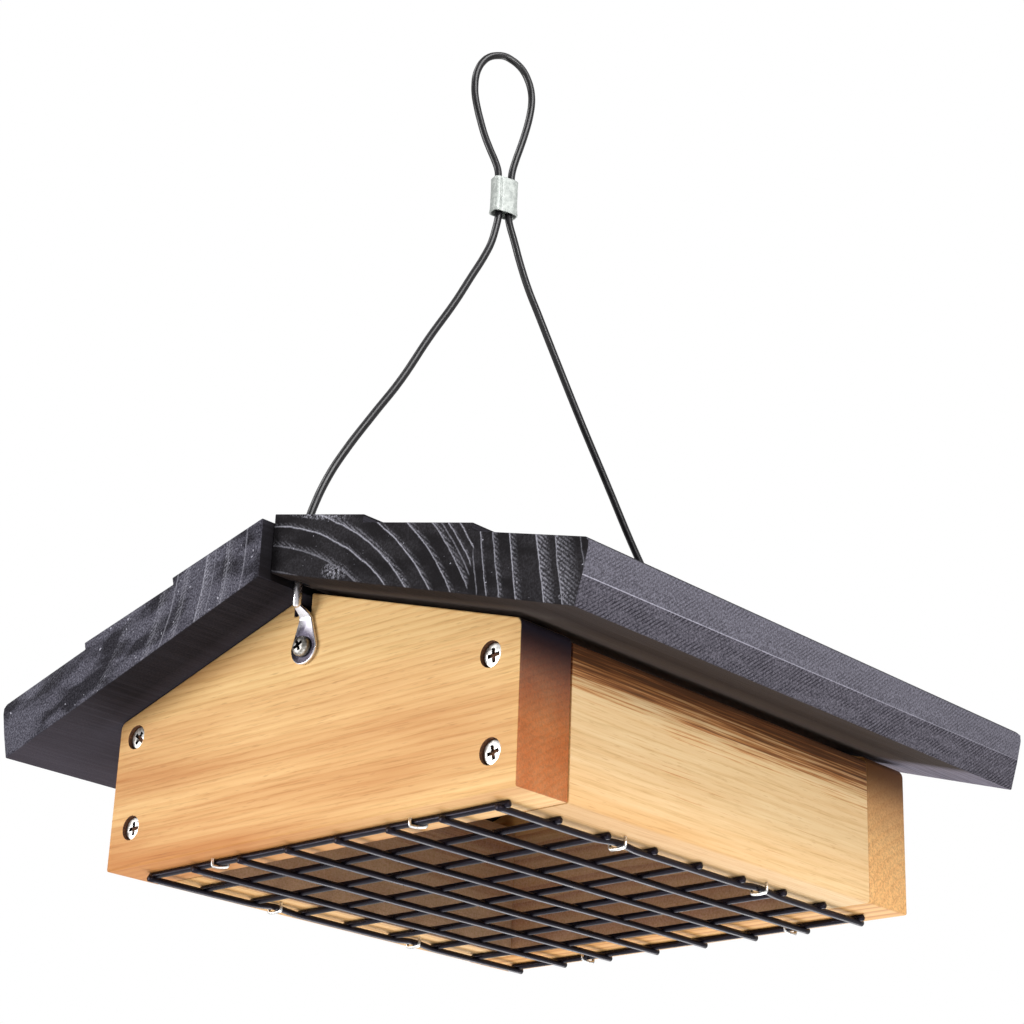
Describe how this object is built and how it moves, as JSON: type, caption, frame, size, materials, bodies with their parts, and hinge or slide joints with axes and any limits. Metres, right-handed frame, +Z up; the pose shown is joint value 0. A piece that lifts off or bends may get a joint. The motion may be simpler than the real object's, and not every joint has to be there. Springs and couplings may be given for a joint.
{
  "type": "suet feeder",
  "caption": "Hanging cedar suet feeder for upside-down feeding, with a wire grid below and a stepped gable roof that slides up its cable.",
  "frame": {"origin": "the point at the inside top of the cable loop that rests on a hook", "axes": "+X across the ridge towards the right-hand slope, +Y from the front panel to the back panel, +Z up"},
  "size_m": [0.2252, 0.1993, 0.2806],
  "materials": {
    "cedar": "planed raw cedar, honey coloured",
    "stained_cedar": "rough-sawn cedar, charcoal stain",
    "black_wire": "black vinyl-coated welded wire",
    "bright_steel": "zinc-plated",
    "plated_steel": "dark bright plating",
    "aluminium": "pressed, satin",
    "black_coating": "black coated steel cable"
  },
  "bodies": {
    "box": {"front_panel": "cedar", "back_panel": "cedar", "left_rail": "cedar", "right_rail": "cedar", "wire_grid": "black_wire", "front_screw_left_lower": "bright_steel", "front_screw_left_upper": "bright_steel", "front_screw_right_lower": "bright_steel", "front_screw_right_upper": "bright_steel", "back_screw_left_lower": "bright_steel", "back_screw_left_upper": "bright_steel", "back_screw_right_lower": "bright_steel", "back_screw_right_upper": "bright_steel", "staple_front_1": "bright_steel", "staple_front_2": "bright_steel", "staple_back_1": "bright_steel", "staple_back_2": "bright_steel", "staple_left_1": "bright_steel", "staple_left_2": "bright_steel", "staple_right_1": "bright_steel", "staple_right_2": "bright_steel", "front_lug": "plated_steel", "back_lug": "plated_steel", "front_lug_screw": "plated_steel", "back_lug_screw": "plated_steel", "ferrule": "aluminium", "cable_front_leg": "black_coating", "cable_back_leg": "black_coating", "cable_loop": "black_coating"},
    "roof": {"roof_left_board": "stained_cedar", "roof_right_board": "stained_cedar", "ridge_cleat": "cedar", "cleat_screw_left_1": "bright_steel", "cleat_screw_right_1": "bright_steel", "cleat_screw_left_2": "bright_steel", "cleat_screw_right_2": "bright_steel"}
  },
  "joints": [
    {"name": "roof_lift", "type": "slide", "parent": "box", "child": "roof", "axis": [0, 0, 1], "range_m": [0, 0.06], "deforming": ["cable_front_leg", "cable_back_leg"]}
  ]
}
